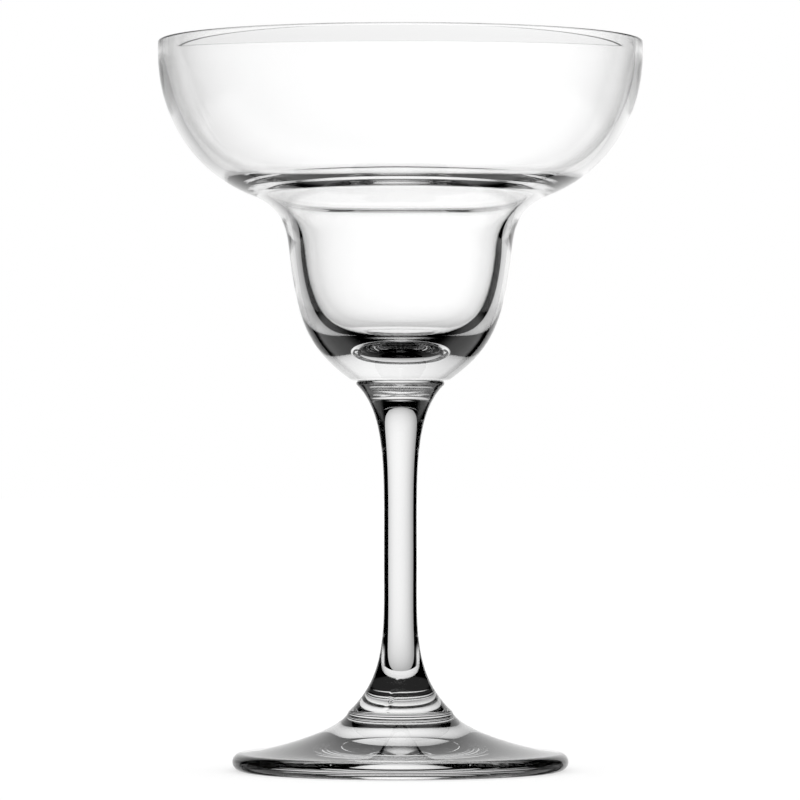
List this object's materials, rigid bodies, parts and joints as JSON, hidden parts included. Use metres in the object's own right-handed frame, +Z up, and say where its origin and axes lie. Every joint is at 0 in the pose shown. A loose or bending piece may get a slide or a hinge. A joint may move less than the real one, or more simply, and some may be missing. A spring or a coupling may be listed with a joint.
{
  "type": "margarita glass",
  "caption": "Clear stemmed cocktail glass with a wide saucer bowl stepping down to a small round cup, on a slim flared stem and a round foot.",
  "frame": {"origin": "centre of the plane that the foot's flat ring stands on", "axes": "+Z up along the axis that the glass is turned about, towards the rim; X and Y lie in the table's plane"},
  "size_m": [0.1166, 0.1166, 0.1755],
  "materials": {
    "clear_glass": "fire-polished, colourless and glossy"
  },
  "bodies": {
    "root": {"bowl": "clear_glass", "stem": "clear_glass", "foot": "clear_glass"}
  },
  "joints": []
}
